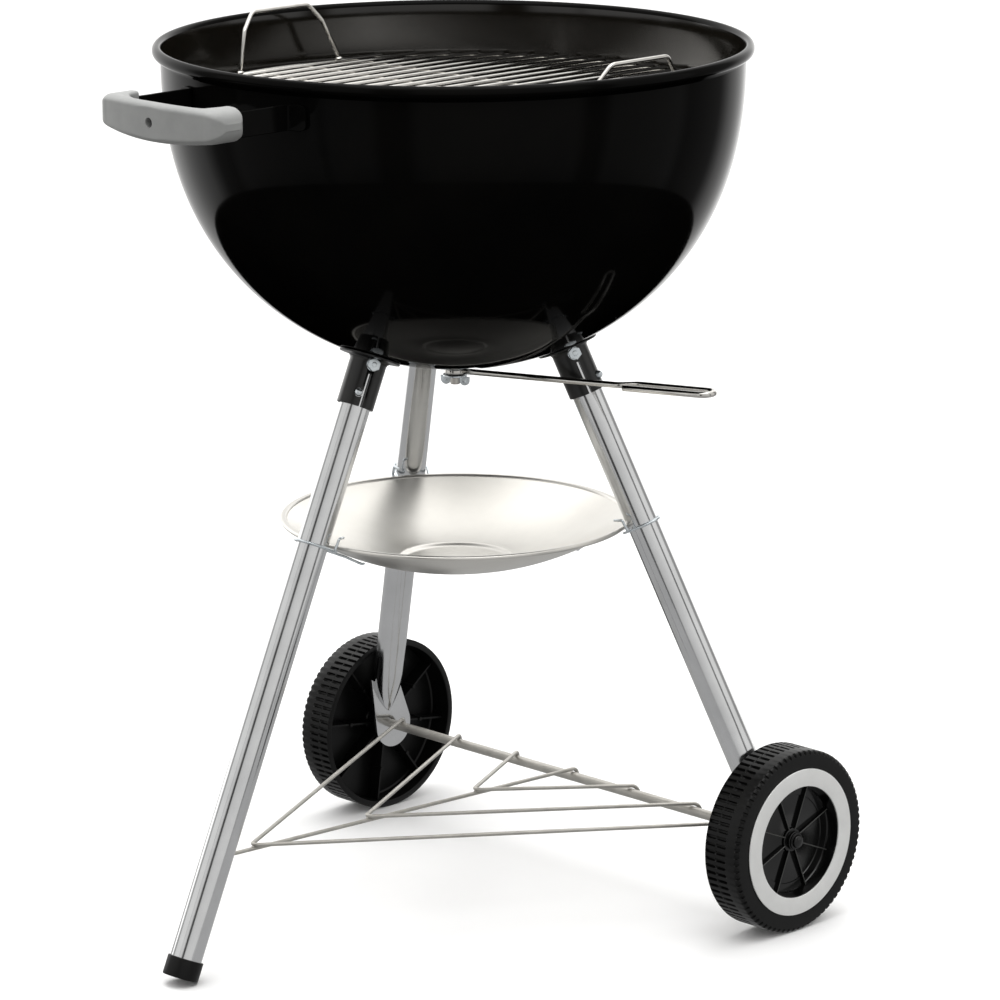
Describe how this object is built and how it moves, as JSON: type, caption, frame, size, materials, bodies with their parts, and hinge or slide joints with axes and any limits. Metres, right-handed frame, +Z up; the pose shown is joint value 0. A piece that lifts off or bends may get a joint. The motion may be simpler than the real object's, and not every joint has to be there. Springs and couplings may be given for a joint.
{
  "type": "kettle charcoal grill",
  "caption": "Round enamelled kettle grill bowl on a tube tripod with wheels, with cooking and charcoal grates, ash sweep, ash pan, side handle and a bottom wire rack; no lid.",
  "frame": {"origin": "on the ground, under the axis of the bowl", "axes": "+Z up along the bowl's axis; +X towards the leg without a wheel and the side handle; +Y along the axle, so the right wheel is at +Y"},
  "size_m": [0.56, 0.52, 0.7247],
  "materials": {
    "enamel": "gloss black porcelain enamel",
    "leg_chrome": "bright plated steel tube",
    "wire_chrome": "bright plated steel wire",
    "rack_wire": "dull plated steel wire",
    "zinc": "zinc-plated hardware",
    "pan_aluminium": "satin pressed sheet",
    "sweep_aluminium": "satin aluminised steel",
    "grip_nylon": "mid-grey glass-filled nylon",
    "black_plastic": "black moulded plastic",
    "trim_white": "plain white ring"
  },
  "bodies": {
    "frame": {"bowl": "enamel", "cooking_grate_tab_1": "enamel", "cooking_grate_tab_2": "enamel", "cooking_grate_tab_3": "enamel", "charcoal_grate_tab_1": "enamel", "charcoal_grate_tab_2": "enamel", "charcoal_grate_tab_3": "enamel", "leg_socket_foot": "enamel", "leg_socket_wheel_right": "enamel", "leg_socket_wheel_left": "enamel", "socket_bolt_foot": "zinc", "socket_bolt_wheel_right": "zinc", "socket_bolt_wheel_left": "zinc", "handle_bracket": "enamel", "handle_grip": "grip_nylon", "handle_screw": "zinc", "foot_leg": "leg_chrome", "wheel_leg_right": "leg_chrome", "wheel_leg_left": "leg_chrome", "foot_cap": "black_plastic", "axle": "rack_wire", "hub_cap_left": "black_plastic", "hub_cap_right": "black_plastic", "rack_spine": "rack_wire", "rack_wire_large": "rack_wire", "rack_wire_medium": "rack_wire", "rack_wire_small": "rack_wire", "pan_clip_foot": "zinc", "pan_clip_wheel_right": "zinc", "pan_clip_wheel_left": "zinc"},
    "cooking_grate": {"cooking_grate": "wire_chrome", "cooking_grate_cross_wire_1": "wire_chrome", "cooking_grate_cross_wire_2": "wire_chrome", "cooking_grate_cross_wire_3": "wire_chrome", "cooking_grate_cross_wire_4": "wire_chrome", "grate_handle_left": "wire_chrome", "grate_handle_right": "wire_chrome"},
    "charcoal_grate": {"charcoal_grate": "wire_chrome", "charcoal_grate_cross_wire_1": "wire_chrome", "charcoal_grate_cross_wire_2": "wire_chrome"},
    "ash_sweep": {"sweep_hub": "sweep_aluminium", "sweep_blade_1": "sweep_aluminium", "sweep_blade_2": "sweep_aluminium", "sweep_blade_3": "sweep_aluminium", "sweep_washer": "zinc", "sweep_lever": "wire_chrome", "sweep_wing_nut": "zinc"},
    "ash_pan": {"ash_pan": "pan_aluminium"},
    "wheel_left": {"wheel_left": "black_plastic", "wheel_trim_left": "trim_white"},
    "wheel_right": {"wheel_right": "black_plastic", "wheel_trim_right": "trim_white"},
    "leg_button_foot": {"leg_button_foot": "zinc"},
    "leg_button_wheel_right": {"leg_button_wheel_right": "zinc"},
    "leg_button_wheel_left": {"leg_button_wheel_left": "zinc"}
  },
  "joints": [
    {"name": "cooking_grate_lift", "type": "slide", "parent": "frame", "child": "cooking_grate", "axis": [0, 0, 1], "range_m": [0, 0.12]},
    {"name": "charcoal_grate_lift", "type": "slide", "parent": "frame", "child": "charcoal_grate", "axis": [0, 0, 1], "range_m": [0, 0.11]},
    {"name": "ash_sweep_turn", "type": "hinge", "parent": "frame", "child": "ash_sweep", "pos_m": [0, 0, 0.4479], "axis": [0, 0, 1], "range_deg": [-60, 0]},
    {"name": "ash_pan_pull", "type": "slide", "parent": "frame", "child": "ash_pan", "axis": [0, 0, 1], "range_m": [-0.15, 0], "deforming": ["pan_clip_foot", "pan_clip_wheel_right", "pan_clip_wheel_left"]},
    {"name": "wheel_left_roll", "type": "hinge", "parent": "frame", "child": "wheel_left", "pos_m": [-0.13535, -0.2415, 0.0756], "axis": [0, 1, 0], "continuous": true},
    {"name": "wheel_right_roll", "type": "hinge", "parent": "frame", "child": "wheel_right", "pos_m": [-0.13535, 0.2415, 0.0756], "axis": [0, 1, 0], "continuous": true},
    {"name": "leg_button_foot_press", "type": "slide", "parent": "frame", "child": "leg_button_foot", "axis": [0.6448, 0.7071, 0.2902], "range_m": [-0.0035, 0], "stiffness_N_per_m": 1000, "springref_m": 0.002},
    {"name": "leg_button_wheel_right_press", "type": "slide", "parent": "frame", "child": "leg_button_wheel_right", "axis": [-0.3646, 0.8406, 0.4005], "range_m": [-0.0035, 0], "stiffness_N_per_m": 1000, "springref_m": 0.002},
    {"name": "leg_button_wheel_left_press", "type": "slide", "parent": "frame", "child": "leg_button_wheel_left", "axis": [-0.3646, -0.8406, 0.4005], "range_m": [-0.0035, 0], "stiffness_N_per_m": 1000, "springref_m": 0.002}
  ]
}
